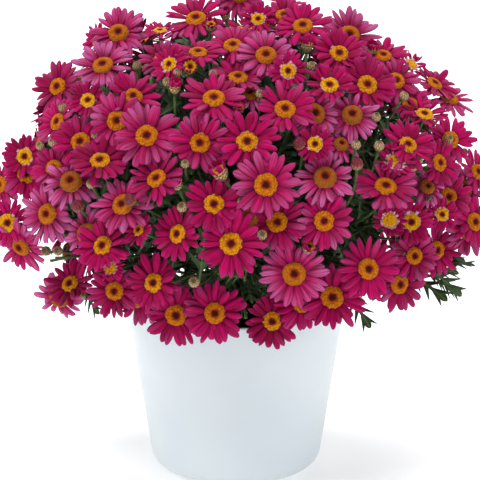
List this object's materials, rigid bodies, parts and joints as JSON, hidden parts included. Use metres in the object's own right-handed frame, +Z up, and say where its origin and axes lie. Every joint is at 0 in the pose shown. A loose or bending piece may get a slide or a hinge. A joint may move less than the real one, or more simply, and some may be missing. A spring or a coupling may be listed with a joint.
{
  "type": "potted marguerite daisy",
  "caption": "Bushy marguerite daisy in full crimson-pink flower, grown into a round mound of orange-eyed heads over green lobed leaves, in a plain white tapered pot that stands flat.",
  "frame": {"origin": "middle of the pot's flat base, on the surface it stands on", "axes": "+Z up along the pot's axis, -Y towards the viewer of the picture, +X to the viewer's right"},
  "size_m": [0.3854, 0.3533, 0.3668],
  "materials": {
    "pot": "smooth moulded white plastic with a soft satin and a faint cool tone",
    "soil": "moist crumbly peat",
    "woody_stem": "thin ridged bark",
    "stems": "smooth green stem",
    "leaves": "matt green leaf with a sunk midrib",
    "petals": "velvety crimson-pink ray florets with fine lengthwise grooves",
    "disc": "granular orange-yellow disc of tiny florets",
    "buds": "overlapping green and cream bud scales"
  },
  "bodies": {
    "root": {"pot": "pot", "potting_soil": "soil", "woody_stem": "woody_stem", "branch_01": "stems", "branch_02": "stems", "branch_03": "stems", "branch_04": "stems", "branch_05": "stems", "branch_06": "stems", "branch_07": "stems", "branch_08": "stems", "leaf_01": "leaves", "leaf_02": "leaves", "leaf_03": "leaves", "leaf_04": "leaves", "leaf_05": "leaves", "leaf_06": "leaves", "leaf_07": "leaves", "flower_head_01": "petals", "flower_head_02": "petals", "flower_head_03": "petals", "flower_head_04": "petals", "flower_head_05": "petals", "flower_head_06": "petals", "flower_head_07": "petals", "flower_head_08": "petals", "flower_head_09": "petals", "flower_head_10": "petals", "flower_head_11": "petals", "flower_head_12": "petals", "flower_head_13": "petals", "flower_head_14": "petals", "flower_head_15": "petals", "flower_head_16": "petals", "flower_head_17": "petals", "flower_head_18": "petals", "flower_head_19": "petals", "flower_head_20": "petals", "flower_head_21": "petals", "flower_head_22": "petals", "flower_head_23": "petals", "flower_head_24": "petals", "flower_head_25": "petals", "flower_head_26": "petals", "flower_head_27": "petals", "flower_head_28": "petals", "flower_head_29": "petals", "flower_head_30": "petals", "flower_head_31": "petals", "flower_head_32": "petals", "flower_head_33": "petals", "flower_head_34": "petals", "flower_head_35": "petals", "flower_head_36": "petals", "flower_head_37": "petals", "flower_head_38": "petals", "bud_01": "buds", "bud_02": "buds", "bud_03": "buds", "bud_04": "buds"}
  },
  "joints": []
}
